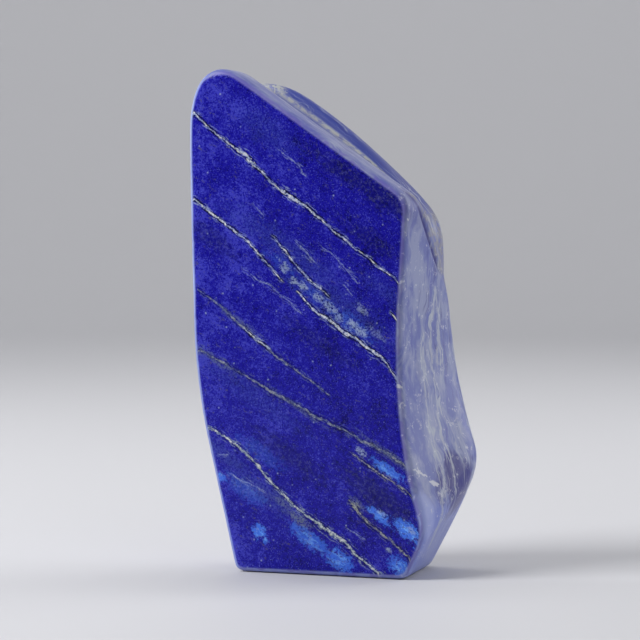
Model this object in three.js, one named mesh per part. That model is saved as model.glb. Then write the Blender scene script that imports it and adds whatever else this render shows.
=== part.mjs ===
// A polished freeform of lapis lazuli: one solid piece of stone that stands on a sawn base.
// Millimetres. +Z is up and the flat polished front looks along -Y. The origin lies on the
// base, under the centre of the stone's box.
//
// The stone is the set of points where a field is negative. Each facet that the lapidary
// ground is one half-space of that field, and the polish that softened the edges between
// facets is a smooth maximum or minimum of those half-spaces.

import * as THREE from "three";
import { mergeVertices } from "three/addons/utils/BufferGeometryUtils.js";

// Corners of the front outline before polishing, as [x, z], clockwise seen from the front.
const FOOT_LEFT = [-28.8, 0];
const KNEE_LEFT = [-43.1, 60];
const APEX = [-46.3, 171];
const SHOULDER = [30.6, 119.7];
const WAIST = [27.2, 62];
const FOOT_RIGHT = [37.2, 0];

// The corner at the apex is cut off by a bevel through this point of the front outline.
const APEX_BEVEL = new THREE.Vector3(-41.2, 0, 157.4);
const APEX_BEVEL_OUT = new THREE.Vector3(-0.76, 0.1, 0.65);

// How far each flank turns outwards, in degrees, as it goes back from the front face.
const LEFT_SPLAY = -9;
const TOP_SPLAY = 0;
const RIGHT_UPPER_SPLAY = 4.5;
const RIGHT_LOWER_SPLAY = 11;

// The front layer is a wedge: this ridge runs along the top behind the front face, and the
// stone falls away behind it at this angle.
const RIDGE_DEPTH = 12;
const RIDGE_FALL = 45;

// The back layer rises out of a valley behind the ridge as a domed hump, and lies inside the
// left flank. Its top falls this many degrees more steeply than the ridge.
const VALLEY_DEPTH = 16;
const VALLEY_DROP = 4;
const HUMP_RISE = 38;
const HUMP_TOP = new THREE.Vector3(-3.2, 26, 144.5);
const HUMP_TILT = 6.3;
const HUMP_CROWN = 390;
const HUMP_FLANK = new THREE.Vector3(30.5, 29, 97);
const HUMP_FLANK_TURN = -6;
const HUMP_FLANK_LEAN = -4;
const HUMP_FLANK_CROWN = 900;
const HUMP_INSET = 3;

// The belly bulges out low on the right flank, and the undercut below it runs to the heel.
const BELLY = new THREE.Vector3(43.2, 34, 36);
const BELLY_OUT = new THREE.Vector3(1, -0.55, 0.56);
const HEEL = new THREE.Vector3(35.7, 0, 10.5);
const HEEL_OUT = new THREE.Vector3(0.87, 0.14, -0.45);

// The back leans forward above its widest height and is chamfered towards both flanks.
const BACK_WIDEST = new THREE.Vector3(0, 49, 62);
const BACK_UPPER_LEAN = 6;
const BACK_LOWER_LEAN = -6;
const BACK_CROWN = 600;
const BACK_RIGHT = new THREE.Vector3(35.2, 44, 60);
const BACK_RIGHT_TURN = 42;
const BACK_RIGHT_LEAN = 7;
const BACK_LEFT = new THREE.Vector3(-37, 31, 70);
const BACK_LEFT_TURN = -48;
const BACK_LEFT_LEAN = 2;
const BACK_LEFT_CROWN = 700;

// How widely the polish rounds each edge: the reach of the blend on either side of it.
const KNEE_BLEND = 4;
const APEX_BLEND = 11;
const BEVEL_BLEND = 6;
const SHOULDER_BLEND = 4;
const WAIST_BLEND = 5;
const RIDGE_BLEND = 3;
const CREASE_BLEND = 1.2;
const RISE_BLEND = 4;
const HUMP_BLEND = 5;
const BELLY_BLEND = 6;
const HEEL_BLEND = 5;
const BACK_BLEND = 12;
const FRONT_BLEND = 2.6;
const BASE_BLEND = 2.4;

// The mesh: how far a triangle may stray from the polished surface, and its edge lengths.
const CORE = new THREE.Vector3(-4, 20, 72);
const REACH = new THREE.Vector3(42, 24, 80);
const STRAY = 0.09;
const SHORTEST_EDGE = 0.6;
const LONGEST_EDGE = 16;
const START_DETAIL = 5;
const EDGE_SAMPLES = [0.25, 0.5, 0.75];
const BISECTIONS = 40;

const DOWN = new THREE.Vector3(0, 0, -1);
const FRONT = new THREE.Vector3(0, -1, 0);
const BACK = new THREE.Vector3(0, 1, 0);

// Facets: functions of a point that give its distance outside the facet.

// A facet through a point. A positive crown is the radius of a domed facet, and none is flat.
function facet(point, normal, crown = 0) {
  const out = normal.clone().normalize();
  if (crown === 0) return (p) => out.dot(p) - out.dot(point);
  const centre = point.clone().addScaledVector(out, -crown);
  return (p) => p.distanceTo(centre) - crown;
}

// A facet that stands on a stretch of the front outline, from a to b.
function flank([ax, az], [bx, bz], splay) {
  const outwards = new THREE.Vector3(az - bz, 0, bx - ax).normalize();
  const normal = turnedBack(outwards, -splay);
  return facet(new THREE.Vector3(ax, 0, az), normal);
}

// A direction across the stone, turned towards the back by an angle in degrees.
function turnedBack(direction, angle) {
  const turn = THREE.MathUtils.degToRad(angle);
  return direction.clone().multiplyScalar(Math.cos(turn)).addScaledVector(BACK, Math.sin(turn));
}

// A direction towards the back, turned to the right and then leaned up, in degrees.
function facingBack(turn, lean) {
  const azimuth = THREE.MathUtils.degToRad(90 - turn);
  const height = THREE.MathUtils.degToRad(lean);
  return new THREE.Vector3(
    Math.cos(azimuth) * Math.cos(height),
    Math.sin(azimuth) * Math.cos(height),
    Math.sin(height),
  );
}

// Where two facets meet in an edge, polished over the given reach.
function edge(a, b, reach) {
  return (p) => {
    const [da, db] = [a(p), b(p)];
    const overlap = Math.max(reach - Math.abs(da - db), 0);
    return Math.max(da, db) + (overlap * overlap) / (4 * reach);
  };
}

// Where two forms meet in a hollow, polished over the given reach.
function hollow(a, b, reach) {
  const outside = edge((p) => -a(p), (p) => -b(p), reach);
  return (p) => -outside(p);
}

// The flanks, seen from the front.

function leftFlank() {
  return edge(
    flank(FOOT_LEFT, KNEE_LEFT, LEFT_SPLAY),
    flank(KNEE_LEFT, APEX, LEFT_SPLAY),
    KNEE_BLEND,
  );
}

function rightFlank() {
  const upper = flank(SHOULDER, WAIST, RIGHT_UPPER_SPLAY);
  const lower = flank(WAIST, FOOT_RIGHT, RIGHT_LOWER_SPLAY);
  const waist = hollow(upper, lower, WAIST_BLEND);
  return hollow(waist, facet(BELLY, BELLY_OUT), BELLY_BLEND);
}

// The direction out of the sloping top, across its line from the apex to the shoulder. A tilt in
// degrees makes the slope steeper.
function outOfTop(tilt = 0) {
  const out = new THREE.Vector3(APEX[1] - SHOULDER[1], 0, SHOULDER[0] - APEX[0]).normalize();
  return out.applyAxisAngle(BACK, THREE.MathUtils.degToRad(tilt));
}

// The two layers of the stone, which meet in a crease behind the ridge.

function frontLayer() {
  const ridge = new THREE.Vector3(APEX[0], RIDGE_DEPTH, APEX[1]);
  const bevelled = edge(leftFlank(), facet(APEX_BEVEL, APEX_BEVEL_OUT), BEVEL_BLEND);
  const topped = edge(bevelled, flank(APEX, SHOULDER, TOP_SPLAY), APEX_BLEND);
  const shouldered = edge(topped, rightFlank(), SHOULDER_BLEND);
  return edge(shouldered, facet(ridge, turnedBack(outOfTop(), RIDGE_FALL)), RIDGE_BLEND);
}

function backLayer() {
  const valley = new THREE.Vector3(APEX[0], VALLEY_DEPTH, APEX[1]);
  valley.addScaledVector(outOfTop(), -VALLEY_DROP);
  const rise = facet(valley, turnedBack(outOfTop(), -HUMP_RISE));
  const hump = edge(rise, facet(HUMP_TOP, outOfTop(HUMP_TILT), HUMP_CROWN), RISE_BLEND);
  const rightOut = facingBack(90 - HUMP_FLANK_TURN, HUMP_FLANK_LEAN);
  const right = facet(HUMP_FLANK, rightOut, HUMP_FLANK_CROWN);
  const left = leftFlank();
  return edge(edge(hump, right, HUMP_BLEND), (p) => left(p) + HUMP_INSET, HUMP_BLEND);
}

function stoneField() {
  const backUpper = facet(BACK_WIDEST, facingBack(0, BACK_UPPER_LEAN), BACK_CROWN);
  const backLower = facet(BACK_WIDEST, facingBack(0, BACK_LOWER_LEAN), BACK_CROWN);
  const backRight = facet(BACK_RIGHT, facingBack(BACK_RIGHT_TURN, BACK_RIGHT_LEAN));
  const backLeft = facet(BACK_LEFT, facingBack(BACK_LEFT_TURN, BACK_LEFT_LEAN), BACK_LEFT_CROWN);
  let field = hollow(frontLayer(), backLayer(), CREASE_BLEND);
  for (const back of [backUpper, backLower, backRight, backLeft]) {
    field = edge(field, back, BACK_BLEND);
  }
  field = edge(field, facet(HEEL, HEEL_OUT), HEEL_BLEND);
  field = edge(field, facet(new THREE.Vector3(), FRONT), FRONT_BLEND);
  return edge(field, facet(new THREE.Vector3(), DOWN), BASE_BLEND);
}

// The mesh of a field's zero surface, as seen from a core point inside it.

function surfacePoint(field, through) {
  const direction = through.clone().sub(CORE).normalize();
  const at = (distance) => CORE.clone().addScaledVector(direction, distance);
  let inside = 0;
  let outside = 2 * REACH.z;
  for (let step = 0; step < BISECTIONS; step++) {
    const middle = (inside + outside) / 2;
    if (field(at(middle)) < 0) inside = middle;
    else outside = middle;
  }
  return at(outside);
}

// True where the straight edge between two surface points leaves the surface too far.
function strays(field, a, b) {
  const length = a.distanceTo(b);
  if (length > LONGEST_EDGE) return true;
  if (length < 2 * SHORTEST_EDGE) return false;
  return EDGE_SAMPLES.some((t) => Math.abs(field(a.clone().lerp(b, t))) > STRAY);
}

const edgesOf = ([a, b, c]) => [[a, b], [b, c], [c, a]];
const edgeKey = ([i, j]) => (i < j ? `${i},${j}` : `${j},${i}`);

function longestEdge(points, triangle) {
  const length = ([i, j]) => points[i].distanceTo(points[j]);
  return edgesOf(triangle).reduce((best, side) => (length(side) > length(best) ? side : best));
}

// The triangles that replace one whose marked edges each gained a middle point.
function splitTriangle([a, b, c], [ab, bc, ca]) {
  const marks = [ab, bc, ca].filter((m) => m !== undefined).length;
  if (marks === 3) return [[a, ab, ca], [ab, b, bc], [ca, bc, c], [ab, bc, ca]];
  if (marks === 0) return [[a, b, c]];
  if (ab === undefined) return splitTriangle([b, c, a], [bc, ca, ab]);
  if (marks === 1) return [[a, ab, c], [ab, b, c]];
  if (bc === undefined) return splitTriangle([c, a, b], [ca, ab, bc]);
  return [[ab, b, bc], [a, ab, bc], [a, bc, c]];
}

// Splits the longest edge of each triangle that strays, until all of them follow the surface.
function refined(field, points, triangles) {
  const middles = new Map();
  for (const triangle of triangles) {
    if (!edgesOf(triangle).some(([i, j]) => strays(field, points[i], points[j]))) continue;
    const [i, j] = longestEdge(points, triangle);
    if (middles.has(edgeKey([i, j]))) continue;
    const middle = points[i].clone().lerp(points[j], 0.5);
    middles.set(edgeKey([i, j]), points.push(surfacePoint(field, middle)) - 1);
  }
  if (middles.size === 0) return triangles;
  const next = triangles.flatMap((triangle) =>
    splitTriangle(triangle, edgesOf(triangle).map((side) => middles.get(edgeKey(side)))),
  );
  return refined(field, points, next);
}

function surfaceOf(field) {
  const start = new THREE.IcosahedronGeometry(1, START_DETAIL);
  start.deleteAttribute("normal");
  start.deleteAttribute("uv");
  const ball = mergeVertices(start);
  const position = ball.getAttribute("position");
  const points = [];
  for (let i = 0; i < position.count; i++) {
    const through = new THREE.Vector3().fromBufferAttribute(position, i).multiply(REACH).add(CORE);
    points.push(surfacePoint(field, through));
  }
  const corners = [...ball.index.array];
  const triangles = [];
  while (corners.length) triangles.push(corners.splice(0, 3));
  const faces = refined(field, points, triangles);
  const geometry = new THREE.BufferGeometry().setFromPoints(points);
  geometry.setIndex(faces.flat());
  return geometry;
}

function stone() {
  const geometry = surfaceOf(stoneField());
  geometry.computeBoundingBox();
  const middle = geometry.boundingBox.getCenter(new THREE.Vector3());
  geometry.translate(-middle.x, -middle.y, 0);
  geometry.computeVertexNormals();
  const material = new THREE.MeshStandardMaterial({
    color: 0x1d1d96,
    roughness: 0.2,
    metalness: 0,
  });
  const mesh = new THREE.Mesh(geometry, material);
  mesh.name = "lapis_stone";
  return mesh;
}

const part = new THREE.Group();
part.add(stone());

export default part;
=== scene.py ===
"""A polished freeform of lapis lazuli on a pale studio floor.

The stone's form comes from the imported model. This script polishes it into a fine mesh and gives
it a solid, procedural lapis material: its veins, patches and grain run through the whole stone.
"""

import math
from collections import namedtuple

import bmesh
import bpy
import numpy as np
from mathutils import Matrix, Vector


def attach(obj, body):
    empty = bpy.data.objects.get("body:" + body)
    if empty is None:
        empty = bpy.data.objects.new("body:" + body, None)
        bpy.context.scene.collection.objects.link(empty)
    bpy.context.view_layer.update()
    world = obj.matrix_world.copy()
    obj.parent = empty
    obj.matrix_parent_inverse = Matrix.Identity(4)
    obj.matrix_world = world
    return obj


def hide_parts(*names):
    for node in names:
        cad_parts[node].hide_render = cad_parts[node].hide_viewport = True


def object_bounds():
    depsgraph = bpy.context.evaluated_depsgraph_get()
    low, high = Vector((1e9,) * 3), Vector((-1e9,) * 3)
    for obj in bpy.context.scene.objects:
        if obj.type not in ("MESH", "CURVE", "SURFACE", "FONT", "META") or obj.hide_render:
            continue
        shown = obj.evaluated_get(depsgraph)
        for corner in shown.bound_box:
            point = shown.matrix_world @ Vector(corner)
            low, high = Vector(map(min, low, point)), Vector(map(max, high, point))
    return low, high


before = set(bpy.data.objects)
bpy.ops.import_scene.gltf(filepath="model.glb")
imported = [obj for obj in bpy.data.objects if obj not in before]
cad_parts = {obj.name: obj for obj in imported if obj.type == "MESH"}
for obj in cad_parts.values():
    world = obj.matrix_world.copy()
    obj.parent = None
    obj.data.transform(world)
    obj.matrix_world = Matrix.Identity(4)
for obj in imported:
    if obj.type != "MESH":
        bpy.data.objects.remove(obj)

CAD_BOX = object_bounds()
Place = namedtuple("Place", "point x depth z along across rise facing leftward")
Noises = namedtuple("Noises", "cloud clump crumb grain crystal layer")
VeinTexture = namedtuple("VeinTexture", "wavering strand beads grit")
VeinLook = namedtuple("VeinLook", "veins tint cover ink beads")
Light = namedtuple("Light", "place aim width height watts spread")
MM = 0.001

# The stone's mesh: millimetres, and how far each half of a smoothing pass moves a corner.
WELD = 0.001
VOXEL = 0.72
POLISH_PASSES = 24
POLISH_IN = 0.5
POLISH_OUT = -0.53

# The camera, as it stood for the photograph: degrees and millimetres.
CAMERA_AZIMUTH = 23.0
CAMERA_ELEVATION = 3.0
CAMERA_DISTANCE = 1120.0
CAMERA_LENS = 200.0
CAMERA_SENSOR = 36.0
AIM_HEIGHT = 81.0

# Places in the stone are measured in millimetres from the foot of its front face, this far from
# its left side: x goes right, depth goes back and z goes up.
FRONT_FROM_LEFT = 45.6
FRONT_FOOT = (CAD_BOX[0][0] + FRONT_FROM_LEFT * MM, CAD_BOX[0][1], 0.0)

# The layers of the stone show on the front face as lines that fall to the right at this slope,
# in degrees. Going back from the face, a layer drops by this many millimetres a millimetre.
LAYER_SLOPE = 33.0
LAYER_DIP = 3.7
# Places along the layers are counted from this far back, and veins lie between start and end.
ALONG_SHIFT = 60.0
ALONG_START = -60.0
ALONG_END = 90.0

# Linear colours.
DEEP_BLUE = (0.003, 0.002, 0.10)
ROYAL_BLUE = (0.007, 0.005, 0.25)
BRIGHT_BLUE = (0.036, 0.038, 0.40)
FLECK_BLUE = (0.12, 0.14, 0.48)
SKY_BLUE = (0.04, 0.13, 0.62)
PALE_SKY = (0.13, 0.33, 0.80)
INK = (0.002, 0.002, 0.010)
SHADE = (0.003, 0.004, 0.045)
RUST = (0.055, 0.050, 0.050)
DUST = (0.085, 0.090, 0.17)
HAZE = (0.040, 0.060, 0.25)
MIST = (0.28, 0.34, 0.48)
WHITE = (0.62, 0.63, 0.66)
CREAM = (0.50, 0.48, 0.36)
CELADON = (0.25, 0.32, 0.31)
OLIVE = (0.10, 0.13, 0.17)
TAN = (0.20, 0.22, 0.17)
DUSTY = (0.12, 0.15, 0.22)
MOSS = (0.12, 0.15, 0.12)
BUFF = (0.40, 0.41, 0.36)
# Lilac and pale lilac: the painted milky sheen of the flanks.
SHEEN_LILAC = (0.14, 0.165, 0.41)
# Deep lilac: dark strands, and also painted shade at the fold and on the belly.
DEEP_LILAC_AND_SHADE = (0.040, 0.038, 0.20)
PALE_SHEEN_LILAC = (0.27, 0.30, 0.47)
CHALK = (0.44, 0.47, 0.52)
VIOLET = (0.14, 0.11, 0.40)
FOOT_LILAC = (0.20, 0.25, 0.62)
FOOT_PALE = (0.36, 0.41, 0.68)
# A painted rim highlight.
RIM_HIGHLIGHT = (0.20, 0.27, 0.55)
HUMP_BLUE = (0.022, 0.040, 0.25)
HUMP_GREY = (0.26, 0.25, 0.25)

# Veins of the front: along and across the layers in mm, and half the width of the vein's core.
WHITE_VEINS = {
    "high": [(-58, 99, 0.3), (-50, 98, 0.2), (-44, 97.3, 0.22), (-38, 97.4, 0.3),
             (-34, 97.3, 0.6), (-31, 96.8, 0.6), (-28.5, 96.2, 0.25), (-24, 95.6, 0.18),
             (-19, 95.1, 0.2), (-15.5, 95, 0.5), (-11, 95.1, 0.5), (-7, 95.2, 0.22),
             (3, 94.3, 0.22), (15, 93.5, 0.14), (33, 93, 0.13)],
    "left": [(-42, 76, 0.2), (-34, 75.3, 0.3), (-26, 75.5, 0.3), (-16, 74.2, 0.2), (-2, 71, 0.1)],
    "dotted": [(-12, 81.2, 0.1), (-4.5, 79, 0.2), (4, 77, 0.18), (13, 75.9, 0.16), (17, 75.4, 0)],
    "middle": [(5, 71.3, 0.12), (15, 69.5, 0.24), (26, 69.7, 0.45), (30, 69.8, 0.25),
               (34, 69.8, 0.45), (40, 69.6, 0.35), (44, 68.4, 0.2), (50, 67, 0.18)],
    "waist": [(-7, 51.3, 0), (-1, 50.7, 0.2), (4, 50.3, 0.16), (10, 49.9, 0)],
    "right_edge": [(33, 83.4, 0), (35.5, 83.3, 0.22), (38, 83.4, 0.2), (40, 83.4, 0)],
}
OLIVE_VEINS = {
    "waist_left": [(-24, 52.6, 0.15), (-13, 52, 0.25), (-1, 50.7, 0.3), (9, 49.9, 0.25),
                   (20, 50, 0.2), (30, 50, 0.15), (34, 50, 0)],
    "long": [(-16, 35.4, 0.15), (-5, 37.6, 0.25), (5, 38.7, 0.25), (15, 39.6, 0.35),
             (33, 41.8, 0.35), (47, 44.1, 0.35), (61, 45.9, 0.35), (70, 47.2, 0.2)],
}
CELADON_VEINS = {
    "low": [(1, 17.4, 0.18), (10, 18, 0.28), (18, 17.8, 0.35), (29, 15.3, 0.22), (38, 14.1, 0.3),
            (47, 13.4, 0.35), (53, 13.6, 0.6), (59, 13.7, 0.55), (68, 12.6, 0.3), (82, 12.7, 0.22)],
}
TAN_VEINS = {
    "foot": [(54, 25.9, 0), (57.5, 25.3, 0.6), (62, 24, 0.22), (74, 23.2, 0.22), (87, 22.3, 0.2)],
    "low_right": [(42, 38.8, 0), (52, 38.8, 0.15), (65, 39.2, 0.2), (75, 40.2, 0.15)],
}
HAIRLINES = {
    "high": [(-29, 105.3, 0), (-21, 105.2, 0.2), (-14, 103.4, 0.16), (-11, 102.6, 0)],
    "low": [(8, 11, 0), (12, 13.4, 0.2), (14, 14.8, 0)],
    "teal": [(14, 8.6, 0), (20, 9.8, 0.22), (28, 10.9, 0.18), (33, 11.2, 0)],
    "foot": [(57, 18, 0), (62, 18.3, 0.2), (69, 18.8, 0)],
    "left": [(-25, 85.6, 0), (-21, 85.2, 0.2), (-16, 84.6, 0)],
    "short": [(-8, 84.6, 0), (-1, 83.4, 0.22), (5, 82.3, 0.2), (8, 82, 0)],
    "faint": [(-20, 66.8, 0), (-11, 66.7, 0.16), (-4, 67.3, 0.16), (8, 66.1, 0.14), (12, 66, 0)],
    "upper": [(-2, 88.1, 0), (7.7, 87.5, 0.14), (19.7, 85.1, 0.14), (21, 84.9, 0)],
    "stroke": [(15.5, 81.8, 0), (17, 81.6, 0.2), (20.2, 81.1, 0.2), (21.5, 80.9, 0)],
}
# The widest vein's half width and how softly veins end, as a share of the ruler along them.
VEIN_WIDEST = 2.0
VEIN_END = 0.01
# In millimetres: the half width at which a vein fades out, how soft its core's edge is, where its
# dark border ends, and where its strands end, beyond this many half widths.
VEIN_FADE = (0.02, 0.12)
CORE_EDGE = 0.16
BORDER_END = (0.8, 0.3)
STRAND_END = (1.2, 0.2)
STRAND_WIDTHS = 2.2
# How each kind of vein looks: colour, cover, darkness of its borders and brightness of its beads.
VEIN_LOOKS = (
    VeinLook(HAIRLINES, MIST, 0.50, 0.00, 0.00),
    VeinLook(OLIVE_VEINS, OLIVE, 0.80, 0.50, 0.35),
    VeinLook(TAN_VEINS, TAN, 0.85, 0.60, 0.45),
    VeinLook(CELADON_VEINS, CELADON, 0.95, 0.50, 0.80),
    VeinLook(WHITE_VEINS, MIST, 0.95, 0.90, 1.00),
)

# What each noise adds to the tone of the blue ground, and the shift of the sum.
TONE_CLOUD = 0.45
TONE_CLUMP = 0.32
TONE_GRAIN = 0.52
TONE_LAYER = 0.25
TONE_SHIFT = -0.27
# Painted light: the ground is a little paler towards the left edge, where the light falls: by how
# much, and between which places.
LIGHT_FROM_LEFT = 0.07
LIGHT_FROM_LEFT_SPAN = (5.0, -40.0)

# The sides away from the front have veins too, which fade in between these depths: their gaps,
# how far they wander, and their half width.
BACK_FROM = (8.0, 13.0)
BACK_VEIN_GAP = 34.0
BACK_VEIN_WANDER = 40.0
BACK_VEIN_HALF = 0.7
BACK_LOOK = VeinLook({}, MIST, 0.95, 0.80, 0.80)

# Chalky streaks down the right flank: height and depth in mm, and half the width.
FLANK_STREAKS = {
    "back": [(64, 23, 0), (69, 23.5, 1.8), (74, 25.4, 1.7), (81, 25.6, 1.6), (87, 24, 0.8),
             (93, 24, 0)],
    "long": [(24, 18, 0.2), (33, 20, 0.5), (50, 20.5, 0.7), (60, 21, 0.5), (71, 19.6, 1.2),
             (77, 20.3, 0.7), (90, 22.5, 0.3)],
    "front": [(10, 13, 0.3), (21, 11.2, 0.9), (27, 12.1, 1.0), (33, 15.2, 0.6), (40, 15, 0.4),
              (55, 15, 0.6), (74, 14.5, 0.5), (82, 14, 0)],
}

# Patches: along, across, half length and half width in millimetres, and strength.
SKY_PATCHES = [
    (35.2, -0.5, 2.4, 2.2, 1.0), (38.4, -1.4, 1.2, 1.0, 0.8), (51, 7.6, 7.5, 2.4, 0.65),
    (62.5, 8.0, 5, 3.0, 0.8), (66, 27.6, 4.5, 1.5, 0.9), (77, 29.2, 5.5, 2.4, 1.0),
    (81, 18.2, 4.5, 2.6, 0.8), (60.7, 41.4, 6, 1.6, 0.8), (14.5, 6.8, 2.2, 1.2, 0.8),
    (24, 8, 8, 2.5, 0.25), (22, 21, 9, 2.5, 0.15),
]
VEIL_PATCHES = [(-4, 75.5, 7, 2.2, 0.2), (10, 73.6, 10, 2.4, 0.25), (25, 72.8, 9, 2.6, 0.4)]
MIST_PATCHES = [
    (-3.5, 75.1, 2.2, 1.6, 0.8), (1.8, 73.2, 1.8, 1.1, 0.9), (5.2, 73.5, 1.9, 1.3, 0.9),
    (11.6, 73.6, 2.2, 1.4, 0.9), (15.4, 73, 2.2, 1.5, 0.8), (18.3, 73.4, 1.6, 1.1, 0.9),
    (21, 72.1, 2, 1.4, 0.7), (26, 72.9, 2.4, 1.5, 1.0), (29.3, 72.5, 2.4, 1.4, 0.9),
    (26, 78.9, 2.6, 1.4, 0.6), (34, 75, 4, 1.2, 0.4), (50.3, 40.9, 2.4, 1.1, 0.9),
    (74.3, 20.4, 1.4, 0.9, 1.0), (66, 28.8, 2.0, 0.8, 0.6), (77.5, 30, 1.8, 0.9, 0.8),
]
# The white crumbs cover at most this share of the ground.
MIST_COVER = 0.8
HAZE_PATCHES = [
    (-5, 80, 26, 5, 0.4), (18, 75, 26, 6, 0.4), (12, 13, 14, 3, 0.5), (30, 11, 14, 3.5, 0.6),
    (8, 35, 26, 4, 0.3), (30, 88, 12, 3, 0.3), (-32, 108, 14, 5, 0.3),
]
DUSTY_PATCHES = [
    (44.5, 10.6, 5.5, 1.7, 0.8), (37, 12.0, 5, 1.2, 0.5), (58, 26.4, 4, 1.4, 0.5),
    (60, 45.6, 14, 1.3, 0.5), (24, 40.4, 12, 1.0, 0.4), (-6, 52, 9, 1.3, 0.4),
    (-8, 37, 9, 1.4, 0.4),
]
SHADE_PATCHES = [
    (62, 32.5, 15, 5, 0.75), (-2, 111.5, 14, 3.5, 0.6), (13, 113, 12, 5, 0.75),
    (30, 26, 16, 4, 0.5), (16, 99, 12, 3, 0.45), (-30, 69, 12, 3.5, 0.45), (20, 62, 16, 3, 0.4),
]

# White marks on the right flank: depth and height in mm, and half the width.
CHIPS = {
    "line": [(0.8, 35.3, 0), (2, 34.7, 0.2), (4.6, 33.6, 0.4), (7.2, 32.4, 0.4), (8.4, 31.9, 0)],
    "fleck": [(7.6, 30.4, 0), (8.8, 30.1, 0.6), (10.4, 29.7, 0.7), (12, 29.3, 0.3), (13, 29.1, 0)],
    "edge": [(0, 60.9, 0.5), (1, 60.4, 0.4), (1.8, 60.2, 0)],
    "dot": [(1.1, 113.2, 0), (1.7, 113, 0.4), (2.3, 112.8, 0)],
}

# A painted milky sheen covers the stone where it faces neither front nor back: how squarely a
# surface may face them, and to the left, and how near the front an edge has the painted sheen on
# every side. First not, then fully.
SHEEN_FACING = (0.985, 0.90)
SHEEN_LEFTWARD = (0.5, 0.1)
SHEEN_EDGE = (4.0, 1.0)
SHEEN_COVER = 0.95
# The front edge is violet as far as this depth, and has a painted pale rim highlight where it faces
# left.
EDGE_DEPTH = (1.4, 0.4)
RIM_HIGHLIGHT_LEFTWARD = (0.10, 0.45)
# The flanks have a painted milky sheen and show the layers edge on, as streaks. One cream layer
# runs along the foot of the hump, and the hump behind it is bluer. Depths in millimetres from the
# front.
HUMP_DEPTH = 19.6
HUMP_CREAM_HALF = 0.6
HUMP_RISE = 105.0
# A fold runs down the right flank from the end of the hump: its place goes back by this much for
# each millimetre of height that it loses. It fades out at both ends. Its line is darkened with
# painted shade.
FOLD_SLOPE = 0.849
FOLD_OFFSET = 107.8
FOLD_HALF = 0.8
FOLD_DEEP = 0.7
FOLD_FROM = 94.0
FOLD_FROM_FADE = 5.0
FOLD_TO = 117.0
FOLD_TO_FADE = 3.0
FOLD_RIGHT = 24.0
# The right flank starts between these places to the right, its strands between these depths.
FLANK_FROM = (15.0, 22.0)
STRANDS_FROM = (8.0, 18.0)
# Heights and depths that the curves of the flank's streaks and white marks run over.
FLANK_TALL = 165.0
FLANK_DEEP = 50.0
# The top of the stone starts at this rise across the layers. It is a little darker.
TOP_RISE = 110.0
# The flank is bluer below this height.
FOOT_HEIGHT = 24.0
# A pale patch on the foot of the flank: place and half sizes.
FOOT_PATCH = (34.0, 3.0, 20.0)
FOOT_PATCH_HALF = (7.0, 5.0, 9.0)
# The belly is darkened with painted shade, with purple streaks: place and half sizes.
BELLY_SHADE_PLACE = (38.0, 23.0, 27.5)
BELLY_SHADE_HALF = (9.0, 12.5, 13.0)
# The left end of the hump has a cream cap: place and half sizes.
CAP_PLACE = (-27.0, 20.5, 155.0)
CAP_HALF = (9.0, 4.0, 5.0)

# The polish: the grain and the flanks with the painted milky sheen add to the least roughness.
STONE_IOR = 1.5
STONE_SPECULAR = 0.15
ROUGH_LEAST = 0.12
ROUGH_GRAIN = 0.10
ROUGH_SHEENED = 0.15

# The studio floor, in metres.
FLOOR_SIDES = 96
SWEEP_STEPS = 24
FLOOR_RADIUS = 1.3
SWEEP_RADIUS = 0.8
WALL_HEIGHT = 1.2
FLOOR_DROP = 0.0001
FLOOR_COLOUR = (0.50, 0.50, 0.52)
FLOOR_ROUGHNESS = 0.6

# Lights: place, aim, width and height in metres, watts, and spread in degrees.
STONE_MIDDLE = (0.0, 0.0, 0.08)
LIGHTS = {
    "key": Light((-0.55, -0.58, 0.75), STONE_MIDDLE, 0.5, 0.5, 12.0, 180.0),
    "fill": Light((0.90, -0.75, 0.35), STONE_MIDDLE, 0.5, 0.5, 1.5, 180.0),
    "flank_panel": Light((0.75, 0.70, 0.48), STONE_MIDDLE, 0.8, 0.8, 3.4, 120.0),
    "left_panel": Light((-1.0, 0.15, 0.25), STONE_MIDDLE, 0.8, 0.9, 3.0, 120.0),
    "top_panel": Light((-0.10, 0.90, 0.62), STONE_MIDDLE, 0.9, 0.5, 0.4, 180.0),
    "backdrop_wash": Light((-0.3, 0.5, 1.6), (-0.8, 2.0, 0.3), 1.4, 0.8, 18.0, 180.0),
}
WORLD_COLOUR = (0.92, 0.95, 1.0)
WORLD_STRENGTH = 0.22


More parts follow.
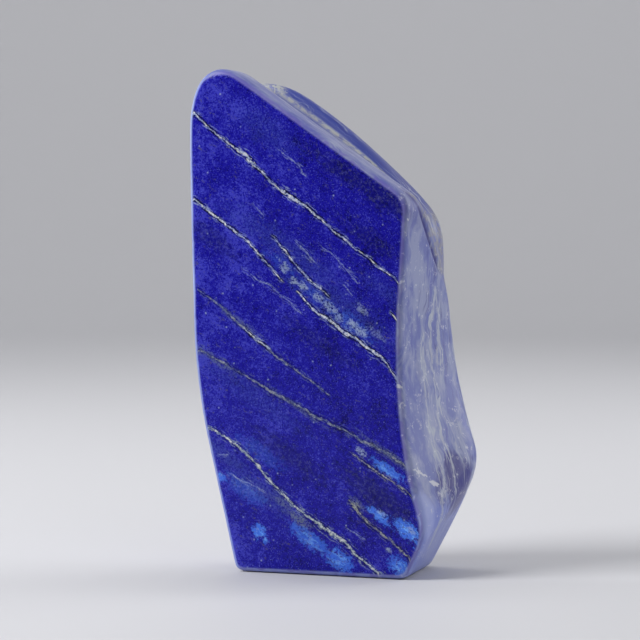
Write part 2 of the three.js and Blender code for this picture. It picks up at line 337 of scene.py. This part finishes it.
class Graph:
    """A short way to write a material's nodes. Inputs are sockets, numbers or colours."""

    def __init__(self, tree):
        self.tree = tree

    def node(self, kind, inputs=(), **settings):
        node = self.tree.nodes.new(kind)
        for name, value in settings.items():
            setattr(node, name, value)
        for key, value in dict(inputs).items():
            self.put(node.inputs[key], value)
        return node

    def put(self, socket, value):
        """Links an input to a socket, or sets it to a number or a colour."""
        if isinstance(value, bpy.types.NodeSocket):
            self.tree.links.new(value, socket)
        elif isinstance(value, tuple) and socket.type == "RGBA":
            socket.default_value = (*value, 1.0)
        else:
            socket.default_value = value

    def math(self, operation, a, b=0.0, c=0.0):
        node = self.node("ShaderNodeMath", operation=operation)
        for socket, value in zip(node.inputs, (a, b, c)):
            self.put(socket, value)
        return node.outputs[0]

    def step(self, value, low, high):
        """0 below low, 1 above high, smooth between. The limits may be sockets, or reversed."""
        inputs = {"Value": value, "From Min": low, "From Max": high}
        node = self.node("ShaderNodeMapRange", inputs, interpolation_type="SMOOTHSTEP")
        return node.outputs["Result"]

    def times(self, first, *others):
        """The product of its inputs."""
        for other in others:
            first = self.math("MULTIPLY", first, other)
        return first

    def centred(self, noise, reach):
        """A noise from 0 to 1, turned into one from minus to plus half the reach."""
        return self.math("MULTIPLY_ADD", noise, reach, -reach / 2)

    def mix(self, factor, a, b):
        """Colour a where the factor is 0, and colour b where it is 1."""
        node = self.node("ShaderNodeMix", data_type="RGBA")
        self.put(node.inputs["Factor"], factor)
        self.put(node.inputs[6], a)
        self.put(node.inputs[7], b)
        return node.outputs[2]

    def noise(self, place, scale, detail=2.0, roughness=0.5, distortion=0.0):
        inputs = {"Vector": place, "Scale": scale, "Detail": detail, "Roughness": roughness,
                  "Distortion": distortion}
        return self.node("ShaderNodeTexNoise", inputs).outputs["Fac"]

    def curve(self, value, points, low, high):
        """A smooth curve through points, each a place in 0 to 1 and a height in low to high."""
        node = self.node("ShaderNodeFloatCurve", {"Value": value})
        line = node.mapping.curves[0].points
        while len(line) < len(points):
            line.new(0.5, 0.5)
        for knot, (place, height) in zip(line, points):
            knot.location = (place, (height - low) / (high - low))
            knot.handle_type = "AUTO_CLAMPED"
        node.mapping.extend = "HORIZONTAL"
        node.mapping.update()
        return self.math("MULTIPLY_ADD", node.outputs[0], high - low, low)

    def split(self, vector):
        return self.node("ShaderNodeSeparateXYZ", {"Vector": vector}).outputs[:]

    def vector(self, x, y, z):
        return self.node("ShaderNodeCombineXYZ", {"X": x, "Y": y, "Z": z}).outputs[0]

    def highest(self, values):
        top = values[0]
        for value in values[1:]:
            top = self.math("MAXIMUM", top, value)
        return top


def polished_stone(node):
    """A fine, smooth mesh of the stone in a new object."""
    shape = bmesh.new()
    shape.from_mesh(node.data)
    bmesh.ops.remove_doubles(shape, verts=shape.verts, dist=WELD * MM)
    mesh = bpy.data.meshes.new("polished_stone")
    shape.to_mesh(mesh)
    shape.free()
    piece = bpy.data.objects.new("polished_stone", mesh)
    bpy.context.scene.collection.objects.link(piece)
    remesh = piece.modifiers.new("fine", "REMESH")
    remesh.mode = "VOXEL"
    remesh.voxel_size = VOXEL * MM
    graph = bpy.context.evaluated_depsgraph_get()
    fine = bpy.data.meshes.new_from_object(piece.evaluated_get(graph))
    piece.modifiers.clear()
    piece.data = fine
    polish(fine)
    fine.shade_smooth()
    return piece


def polish(mesh):
    """Smooths the mesh without shrinking it, presses the fold and keeps to the solid's box."""
    count = len(mesh.vertices)
    places = np.empty(count * 3)
    mesh.vertices.foreach_get("co", places)
    places = places.reshape(-1, 3)
    edges = np.empty(len(mesh.edges) * 2, dtype=np.int32)
    mesh.edges.foreach_get("vertices", edges)
    one, other = edges.reshape(-1, 2).T
    degree = np.bincount(edges, minlength=count)[:, None]
    for _ in range(POLISH_PASSES):
        for share in (POLISH_IN, POLISH_OUT):
            total = np.zeros_like(places)
            for axis in range(3):
                total[:, axis] += np.bincount(one, places[other, axis], count)
                total[:, axis] += np.bincount(other, places[one, axis], count)
            places += share * (total / degree - places)
    press_fold(places)
    places = np.clip(places, CAD_BOX[0], CAD_BOX[1])
    mesh.vertices.foreach_set("co", places.ravel())
    mesh.update()


def press_fold(places):
    """Presses the fold below the hump into the right flank."""
    x, depth, z = ((places - np.array(FRONT_FOOT)) / MM).T
    off = (depth + FOLD_SLOPE * z - FOLD_OFFSET) / math.hypot(1, FOLD_SLOPE)
    low_end = np.clip((z - FOLD_FROM) / FOLD_FROM_FADE, 0, 1)
    high_end = np.clip((FOLD_TO - z) / FOLD_TO_FADE, 0, 1)
    reach = np.exp(-(off / FOLD_HALF) ** 2) * low_end * high_end * (x > FOLD_RIGHT)
    places[:, 0] -= FOLD_DEEP * MM * reach


def stone_places(g):
    """Where a point lies in the stone, in mm, and how squarely its surface faces front or back."""
    coordinates = g.node("ShaderNodeTexCoord").outputs
    shifted = g.node("ShaderNodeVectorMath", {0: coordinates["Object"], 1: FRONT_FOOT},
                     operation="SUBTRACT")
    scaled = g.node("ShaderNodeVectorMath", {0: shifted.outputs[0], "Scale": 1 / MM},
                    operation="SCALE")
    point = scaled.outputs[0]
    x, depth, z = g.split(point)
    slope = math.radians(LAYER_SLOPE)
    rise = g.math("ADD", g.times(x, math.sin(slope)), g.times(z, math.cos(slope)))
    run = g.math("SUBTRACT", g.times(x, math.cos(slope)), g.times(z, math.sin(slope)))
    dip = g.times(depth, LAYER_DIP)
    across = g.math("MULTIPLY_ADD", dip, math.cos(slope), rise)
    along = g.math("MULTIPLY_ADD", dip, -math.sin(slope), run)
    along = g.math("ADD", along, ALONG_SHIFT)
    normal_x, normal_y, _ = g.split(coordinates["Normal"])
    facing = g.math("ABSOLUTE", normal_y)
    leftward = g.times(normal_x, -1.0)
    return Place(point, x, depth, z, along, across, rise, facing, leftward)


def stone_noises(g, at):
    """Noises from clouds a centimetre wide down to crystals of a third of a millimetre."""
    layered = g.vector(g.times(at.along, 0.4), at.across, at.depth)
    return Noises(
        cloud=g.noise(at.point, 0.09, 3.0, 0.55),
        clump=g.noise(at.point, 0.42, 3.0, 0.6, 0.6),
        crumb=g.noise(at.point, 0.75, 3.0, 0.7, 0.5),
        grain=g.noise(at.point, 1.3, 3.0, 0.65, 0.4),
        crystal=g.noise(at.point, 2.6, 2.0, 0.6),
        layer=g.noise(layered, 0.7, 4.0, 0.72),
    )


def blue_ground(g, at, noises):
    """The blue of the stone, with flecks, rust, black grains and white specks."""
    tone = g.times(noises.cloud, TONE_CLOUD)
    tone = g.math("MULTIPLY_ADD", noises.clump, TONE_CLUMP, tone)
    tone = g.math("MULTIPLY_ADD", noises.grain, TONE_GRAIN, tone)
    tone = g.math("MULTIPLY_ADD", noises.layer, TONE_LAYER, tone)
    # Painted light: the blue is paler towards the left, where the light falls.
    tone = g.math("MULTIPLY_ADD", g.step(at.x, *LIGHT_FROM_LEFT_SPAN), LIGHT_FROM_LEFT, tone)
    tone = g.math("ADD", tone, TONE_SHIFT)
    colour = g.mix(g.step(tone, 0.34, 0.52), DEEP_BLUE, ROYAL_BLUE)
    colour = g.mix(g.step(tone, 0.52, 0.68), colour, BRIGHT_BLUE)
    fleck = g.times(g.step(noises.crystal, 0.54, 0.72), g.step(noises.crumb, 0.44, 0.60))
    colour = g.mix(g.times(fleck, 0.8), colour, FLECK_BLUE)
    rust = g.times(g.step(noises.layer, 0.56, 0.66), g.step(noises.grain, 0.44, 0.58))
    colour = g.mix(g.times(rust, 0.75), colour, RUST)
    ink = g.times(g.step(noises.crystal, 0.44, 0.30), g.step(noises.grain, 0.56, 0.40))
    colour = g.mix(g.times(ink, 0.8), colour, INK)
    cells = g.node("ShaderNodeTexVoronoi", {"Vector": at.point, "Scale": 0.24})
    speck = g.math("ADD", cells.outputs["Distance"], g.times(noises.grain, 0.16))
    return g.mix(g.times(g.step(speck, 0.18, 0.10), 0.6), colour, MIST)


def patch_mask(g, patches, at, ragged, outer=1.25, inner=0.35):
    """How far a point lies inside the patches. Ragged is a noise that frays their outlines."""
    masks = []
    for a, b, half_length, half_width, strength in patches:
        u = g.math("DIVIDE", g.math("SUBTRACT", at.along, a), half_length)
        v = g.math("DIVIDE", g.math("SUBTRACT", at.across, b), half_width)
        reach = g.math("SQRT", g.math("ADD", g.times(u, u), g.times(v, v)))
        mask = g.step(g.math("ADD", reach, ragged), outer, inner)
        masks.append(g.times(mask, strength))
    return g.highest(masks)


def with_patches(g, at, noises, colour):
    """Dark, hazy and dusty patches, then the pale ones."""
    ragged = g.centred(noises.layer, 3.2)
    shade = patch_mask(g, SHADE_PATCHES, at, ragged)
    colour = g.mix(g.times(shade, 0.7), colour, SHADE)
    glint = g.times(g.step(noises.crumb, 0.48, 0.64), shade)
    colour = g.mix(g.times(glint, 0.35), colour, DUST)
    haze = patch_mask(g, HAZE_PATCHES, at, ragged)
    haze = g.times(haze, g.step(noises.grain, 0.32, 0.62))
    colour = g.mix(haze, colour, HAZE)
    dusty = patch_mask(g, DUSTY_PATCHES, at, ragged)
    dusty = g.times(dusty, g.step(noises.grain, 0.34, 0.60))
    colour = g.mix(dusty, colour, g.mix(g.step(noises.clump, 0.46, 0.60), DUSTY, MOSS))
    return with_pale_patches(g, at, noises, colour)


def with_pale_patches(g, at, noises, colour):
    """Sky-blue patches with pale middles, and crumbs of white in a blue veil."""
    ragged = g.math("MULTIPLY_ADD", g.math("ADD", noises.layer, noises.crumb), 2.6, -2.6)
    sky = patch_mask(g, SKY_PATCHES, at, ragged, 1.2, 0.6)
    blotch = g.mix(g.step(noises.layer, 0.46, 0.62), SKY_BLUE, PALE_SKY)
    pale = g.times(g.step(noises.crumb, 0.54, 0.68), 0.6)
    blotch = g.mix(pale, blotch, MIST)
    colour = g.mix(g.times(sky, g.step(noises.grain, 0.24, 0.48)), colour, blotch)
    veil = patch_mask(g, VEIL_PATCHES, at, ragged)
    colour = g.mix(g.times(veil, g.step(noises.grain, 0.34, 0.58)), colour, SKY_BLUE)
    mist = patch_mask(g, MIST_PATCHES, at, ragged, 1.2, 0.4)
    mist = g.times(mist, g.step(noises.grain, 0.34, 0.58), MIST_COVER)
    return g.mix(mist, colour, g.mix(g.step(noises.crumb, 0.44, 0.60), MIST, CELADON))


def vein_fields(g, veins, ruler, reading, start, end):
    """Each vein's half width at a point, and the point's distance from the vein's middle, in mm.

    The ruler runs along the veins from start to end, and the reading is taken across them.
    """
    span = end - start
    place = g.math("DIVIDE", g.math("SUBTRACT", ruler, start), span)
    fields = []
    for points in veins.values():
        spots = [((a - start) / span, b, w) for a, b, w in points]
        heights = [b for _, b, _ in spots]
        centre = g.curve(place, [(s, b) for s, b, _ in spots], min(heights) - 1, max(heights) + 1)
        before, after = (spots[0][0] - VEIN_END, 0.0), (spots[-1][0] + VEIN_END, 0.0)
        width = g.curve(place, [before, *((s, w) for s, _, w in spots), after], 0.0, VEIN_WIDEST)
        off = g.math("ABSOLUTE", g.math("SUBTRACT", reading, centre))
        fields.append((width, off))
    return fields


def vein_masks(g, fields, share):
    """The veins' cores, the dark borders beside them and the wider zones of strands round them."""
    cores, borders, zones = [], [], []
    for width, off in fields:
        present = g.step(width, *VEIN_FADE)
        core = g.step(g.math("SUBTRACT", g.times(width, share), off), -CORE_EDGE, CORE_EDGE)
        border = g.step(g.math("SUBTRACT", off, width), *BORDER_END)
        zone = g.step(g.math("SUBTRACT", off, g.times(width, STRAND_WIDTHS)), *STRAND_END)
        cores.append(g.times(core, present))
        borders.append(g.times(border, present))
        zones.append(g.times(zone, present))
    return g.highest(cores), g.highest(borders), g.highest(zones)


def vein_texture(g, at, noises):
    """How the veins waver, and the strands, beads and grit that break them up."""
    sway = g.math("SUBTRACT", g.noise(at.point, 0.16, 2.0), 0.5)
    jag = g.math("SUBTRACT", g.noise(at.point, 0.8, 3.0, 0.65), 0.5)
    wavering = g.math("MULTIPLY_ADD", sway, 1.8, at.across)
    wavering = g.math("MULTIPLY_ADD", jag, 1.0, wavering)
    strand_place = g.vector(g.times(at.along, 0.14), wavering, 0.0)
    strand = g.noise(strand_place, 1.9, 2.0, 0.6)
    bead_place = g.vector(g.times(at.along, 0.6), at.across, at.depth)
    beads = g.noise(bead_place, 0.8, 3.0, 0.7)
    grit = g.math("MULTIPLY_ADD", g.step(noises.grain, 0.36, 0.54), 0.75, 0.25)
    return VeinTexture(wavering, strand, beads, grit)


def lay_veins(g, colour, fields, look, texture, noises):
    """Paints veins of one look over a colour: dark borders, side strands, then beaded cores."""
    share = g.math("MULTIPLY_ADD", g.step(texture.beads, 0.36, 0.60), 1.1, 0.2)
    core, border, zone = vein_masks(g, fields, share)
    gaps = g.times(border, g.step(texture.strand, 0.60, 0.44))
    colour = g.mix(g.times(gaps, look.ink), colour, INK)
    lines = g.times(zone, g.step(texture.strand, 0.54, 0.62), texture.grit)
    colour = g.mix(g.times(lines, 0.65 * look.cover), colour, look.tint)
    bead = g.mix(g.step(noises.clump, 0.54, 0.66), WHITE, CREAM)
    brightness = g.times(g.step(texture.beads, 0.44, 0.64), look.beads)
    tint = g.mix(brightness, look.tint, bead)
    solid = g.times(core, texture.grit)
    return g.mix(g.times(solid, look.cover), colour, tint)


def with_veins(g, at, noises, colour):
    """Each kind of vein in its look, faint ones first, and then the veins of the other sides."""
    texture = vein_texture(g, at, noises)
    for look in VEIN_LOOKS:
        fields = vein_fields(g, look.veins, at.along, texture.wavering, ALONG_START, ALONG_END)
        colour = lay_veins(g, colour, fields, look, texture, noises)
    return lay_veins(g, colour, back_vein_fields(g, at, texture), BACK_LOOK, texture, noises)


def back_vein_fields(g, at, texture):
    """Veins at even gaps that wander a little, for the sides of the stone away from the front."""
    wander = g.noise(at.point, 0.03, 2.0)
    place = g.math("MULTIPLY_ADD", wander, BACK_VEIN_WANDER, texture.wavering)
    off = g.math("PINGPONG", place, BACK_VEIN_GAP / 2)
    swell = g.times(g.step(g.noise(at.point, 0.07, 2.0), 0.36, 0.58), BACK_VEIN_HALF)
    return [(g.times(swell, g.step(at.depth, *BACK_FROM)), off)]


def near(g, at, place, half, ragged):
    """1 in the middle of a soft ball, stretched to the half sizes, and 0 outside it.

    Ragged is a noise that frays its outline.
    """
    reach = ragged
    for value, middle, size in zip((at.x, at.depth, at.z), place, half):
        part = g.math("DIVIDE", g.math("SUBTRACT", value, middle), size)
        reach = g.math("MULTIPLY_ADD", part, part, reach)
    return g.step(reach, 1.0, 0.3)


def with_hump(g, at, noises, colour):
    """The hump is bluer than the flanks, with a cream layer at its foot and a grey right end, and
    painted shade along the fold.
    """
    high = g.step(at.rise, HUMP_RISE, HUMP_RISE + 5.0)
    blue = g.times(high, g.step(at.depth, HUMP_DEPTH, HUMP_DEPTH + 1.5))
    colour = g.mix(g.times(blue, 0.85), colour, HUMP_BLUE)
    off = g.math("ABSOLUTE", g.math("SUBTRACT", at.depth, HUMP_DEPTH))
    cream = g.times(high, g.step(off, HUMP_CREAM_HALF + 0.6, HUMP_CREAM_HALF - 0.5))
    cap = near(g, at, CAP_PLACE, CAP_HALF, g.centred(noises.crumb, 2.0))
    cream = g.times(g.math("MAXIMUM", cream, cap), g.step(noises.clump, 0.36, 0.54))
    colour = g.mix(g.times(cream, 0.85), colour, BUFF)
    fold = g.math("SUBTRACT", g.math("MULTIPLY_ADD", at.z, FOLD_SLOPE, at.depth), FOLD_OFFSET)
    right = g.step(at.x, FOLD_RIGHT, FOLD_RIGHT + 4.0)
    beyond = g.times(g.step(fold, 0.0, 2.0), right)
    mottle = g.mix(g.step(noises.clump, 0.34, 0.60), SHEEN_LILAC, HUMP_GREY)
    colour = g.mix(g.times(beyond, 0.8), colour, mottle)
    # Painted shade: a dark line along the fold.
    line = g.times(g.step(g.math("ABSOLUTE", fold), 1.3, 0.4), right,
                   g.step(at.z, FOLD_FROM, FOLD_FROM + 3.0))
    return g.mix(g.times(line, 0.8), colour, DEEP_LILAC_AND_SHADE)


def sheened_ground(g, at, noises):
    """The flanks: smears and thin strands that follow the layers, over a painted lilac sheen."""
    smear, strand = flank_grain(g, at)
    # Painted sheen: the lilac ground of the flanks stands for reflected light.
    colour = g.mix(g.step(smear, 0.40, 0.60), SHEEN_LILAC, PALE_SHEEN_LILAC)
    colour = with_foot(g, at, smear, colour)
    top = g.step(at.rise, TOP_RISE - 4.0, TOP_RISE + 2.0)
    colour = g.mix(g.times(top, 0.3), colour, DEEP_LILAC_AND_SHADE)
    colour = with_hump(g, at, noises, colour)
    colour = with_strands(g, at, noises, strand, colour)
    return with_chalk(g, at, noises, strand, colour)


def flank_grain(g, at):
    """Two noises drawn out along the layers, where they come out on the flanks: wide and thin."""
    wide_bend = g.centred(g.noise(at.point, 0.04, 2.0), 9.0)
    small_bend = g.centred(g.noise(at.point, 0.16, 2.0), 4.0)
    depth = g.math("ADD", at.depth, g.math("ADD", wide_bend, small_bend))
    x, z = g.times(at.x, 0.05), g.times(at.z, 0.07)
    smear = g.noise(g.vector(x, g.times(depth, 0.17), z), 1.0, 4.0, 0.65)
    strand = g.noise(g.vector(x, g.times(depth, 0.8), z), 1.0, 3.0, 0.6)
    return smear, strand


def with_foot(g, at, smear, colour):
    """The foot of the flank is bluer with a pale patch, and the belly above it is darkened with
    painted shade.
    """
    foot = g.step(at.z, FOOT_HEIGHT + 4.0, FOOT_HEIGHT - 4.0)
    colour = g.mix(g.times(foot, 0.6), colour, FOOT_LILAC)
    ragged = g.centred(smear, 3.0)
    patch = near(g, at, FOOT_PATCH, FOOT_PATCH_HALF, ragged)
    colour = g.mix(g.times(patch, 0.6), colour, FOOT_PALE)
    # Painted shade on the belly.
    belly_shade = near(g, at, BELLY_SHADE_PLACE, BELLY_SHADE_HALF, ragged)
    return g.mix(g.times(belly_shade, 0.9), colour, DEEP_LILAC_AND_SHADE)


def with_strands(g, at, noises, strand, colour):
    """Dark and pale strands on the top and the back of the flank, a violet front edge, and a
    painted pale rim highlight where the edge faces left.
    """
    top = g.step(at.rise, TOP_RISE - 2.0, TOP_RISE + 2.0)
    lively = g.math("MAXIMUM", g.step(at.depth, *STRANDS_FROM), top)
    lively = g.times(lively, g.step(noises.cloud, 0.34, 0.54))
    dark = g.times(g.step(strand, 0.46, 0.32), lively)
    colour = g.mix(g.times(dark, 0.55), colour, DEEP_LILAC_AND_SHADE)
    pale = g.times(g.step(strand, 0.54, 0.68), lively)
    colour = g.mix(g.times(pale, 0.5), colour, CHALK)
    edge = g.step(at.depth, *EDGE_DEPTH)
    violet = g.times(edge, g.step(strand, 0.60, 0.44))
    colour = g.mix(g.times(violet, 0.6), colour, VIOLET)
    # Painted highlight: a pale rim where the front edge faces left.
    rim_highlight = g.times(edge, g.step(at.leftward, *RIM_HIGHLIGHT_LEFTWARD))
    return g.mix(g.times(rim_highlight, 0.7), colour, RIM_HIGHLIGHT)


def with_chalk(g, at, noises, strand, colour):
    """Chalky streaks, crumbs and white marks on the right flank."""
    sway = g.centred(g.noise(at.point, 0.12, 3.0, 0.6), 5.0)
    streaks = vein_fields(g, FLANK_STREAKS, at.z, g.math("ADD", at.depth, sway), 0.0, FLANK_TALL)
    core, _, zone = vein_masks(g, streaks, g.step(noises.layer, 0.38, 0.60))
    chalk = g.math("MAXIMUM", core, g.times(zone, g.step(strand, 0.50, 0.62)))
    right = g.step(at.x, *FLANK_FROM)
    colour = g.mix(g.times(chalk, right, 0.65), colour, CHALK)
    jag = g.centred(noises.crumb, 2.4)
    chips = vein_fields(g, CHIPS, at.depth, g.math("ADD", at.z, jag), 0.0, FLANK_DEEP)
    marks, _, _ = vein_masks(g, chips, 1.0)
    crumb = g.times(g.step(noises.clump, 0.57, 0.67), g.step(noises.grain, 0.44, 0.58))
    white = g.math("MAXIMUM", g.times(crumb, 0.6), g.times(marks, 0.8))
    return g.mix(g.times(white, right), colour, WHITE)


def lapis():
    """The material: polished blue on the front, the back and the left, and elsewhere a painted
    milky lilac sheen over the stone's streaks.
    """
    material = bpy.data.materials.new("lapis")
    material.use_nodes = True
    tree = material.node_tree
    g = Graph(tree)
    shader = tree.nodes["Principled BSDF"]
    at = stone_places(g)
    noises = stone_noises(g, at)
    polished = blue_ground(g, at, noises)
    polished = with_patches(g, at, noises, polished)
    polished = with_veins(g, at, noises, polished)
    # Painted sheen: a milky lilac colour on the sides stands for reflected light, laid over the
    # stone's streaks.
    edge = g.step(at.depth, *SHEEN_EDGE)
    ground = g.math("MAXIMUM", edge, g.step(at.leftward, *SHEEN_LEFTWARD))
    painted_sheen = g.times(g.step(at.facing, *SHEEN_FACING), ground)
    colour = g.mix(g.times(painted_sheen, SHEEN_COVER), polished, sheened_ground(g, at, noises))
    roughness = g.math("MULTIPLY_ADD", noises.grain, ROUGH_GRAIN, ROUGH_LEAST)
    roughness = g.math("MULTIPLY_ADD", painted_sheen, ROUGH_SHEENED, roughness)
    g.put(shader.inputs["Base Color"], colour)
    g.put(shader.inputs["Roughness"], roughness)
    shader.inputs["IOR"].default_value = STONE_IOR
    shader.inputs["Specular IOR Level"].default_value = STONE_SPECULAR
    return material


def pale_paper():
    """The plain material of the floor."""
    paper = bpy.data.materials.new("pale_paper")
    paper.use_nodes = True
    shader = paper.node_tree.nodes["Principled BSDF"]
    shader.inputs["Base Color"].default_value = (*FLOOR_COLOUR, 1.0)
    shader.inputs["Roughness"].default_value = FLOOR_ROUGHNESS
    return paper


def ring(shape, radius, height):
    """New corners in a level circle round the middle of the floor."""
    turns = [2 * math.pi * side / FLOOR_SIDES for side in range(FLOOR_SIDES)]
    return [shape.verts.new((radius * math.cos(turn), radius * math.sin(turn), height))
            for turn in turns]


def studio():
    """A round floor that sweeps up into a low wall on every side."""
    profile = [(FLOOR_RADIUS, 0.0)]
    for step in range(1, SWEEP_STEPS + 1):
        turn = math.pi / 2 * step / SWEEP_STEPS
        profile.append((FLOOR_RADIUS + SWEEP_RADIUS * math.sin(turn),
                        SWEEP_RADIUS * (1 - math.cos(turn))))
    profile.append((FLOOR_RADIUS + SWEEP_RADIUS, SWEEP_RADIUS + WALL_HEIGHT))
    shape = bmesh.new()
    rings = [ring(shape, radius, height - FLOOR_DROP) for radius, height in profile]
    shape.faces.new(rings[0])
    for lower, upper in zip(rings, rings[1:]):
        for side in range(FLOOR_SIDES):
            following = (side + 1) % FLOOR_SIDES
            shape.faces.new((upper[side], upper[following], lower[following], lower[side]))
    mesh = bpy.data.meshes.new("studio_floor")
    shape.to_mesh(mesh)
    shape.free()
    mesh.shade_smooth()
    mesh.materials.append(pale_paper())
    floor = bpy.data.objects.new("studio_floor", mesh)
    bpy.context.scene.collection.objects.link(floor)


def softbox(name, light):
    """A soft rectangular light."""
    panel = bpy.data.lights.new(name, "AREA")
    panel.shape = "RECTANGLE"
    panel.size = light.width
    panel.size_y = light.height
    panel.energy = light.watts
    panel.spread = math.radians(light.spread)
    lamp = bpy.data.objects.new(name, panel)
    lamp.location = light.place
    look = Vector(light.aim) - Vector(light.place)
    lamp.rotation_euler = look.to_track_quat("-Z", "Y").to_euler()
    lamp.visible_camera = False
    bpy.context.scene.collection.objects.link(lamp)


def lighting():
    """Soft panels round the stone, a wash over the wall behind it, and a little light all round."""
    world = bpy.data.worlds.new("studio_air")
    world.use_nodes = True
    background = world.node_tree.nodes["Background"]
    background.inputs["Color"].default_value = (*WORLD_COLOUR, 1.0)
    background.inputs["Strength"].default_value = WORLD_STRENGTH
    bpy.context.scene.world = world
    for name, light in LIGHTS.items():
        softbox(name, light)


def camera():
    """The camera, at the angle of the photograph."""
    aim = Vector(FRONT_FOOT) + Vector((0.0, 0.0, AIM_HEIGHT * MM))
    azimuth, elevation = math.radians(CAMERA_AZIMUTH), math.radians(CAMERA_ELEVATION)
    back = Vector((math.sin(azimuth) * math.cos(elevation),
                   -math.cos(azimuth) * math.cos(elevation), math.sin(elevation)))
    lens = bpy.data.cameras.new("camera")
    lens.lens = CAMERA_LENS
    lens.sensor_width = CAMERA_SENSOR
    eye = bpy.data.objects.new("camera", lens)
    eye.location = aim + back * CAMERA_DISTANCE * MM
    eye.rotation_euler = back.to_track_quat("Z", "Y").to_euler()
    bpy.context.scene.collection.objects.link(eye)
    bpy.context.scene.camera = eye


def main():
    """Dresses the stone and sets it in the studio."""
    bpy.context.scene.view_settings.view_transform = "Standard"
    stone = polished_stone(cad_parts["lapis_stone"])
    stone.data.materials.clear()
    stone.data.materials.append(lapis())
    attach(stone, "root")
    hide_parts("lapis_stone")
    studio()
    lighting()
    camera()


main()
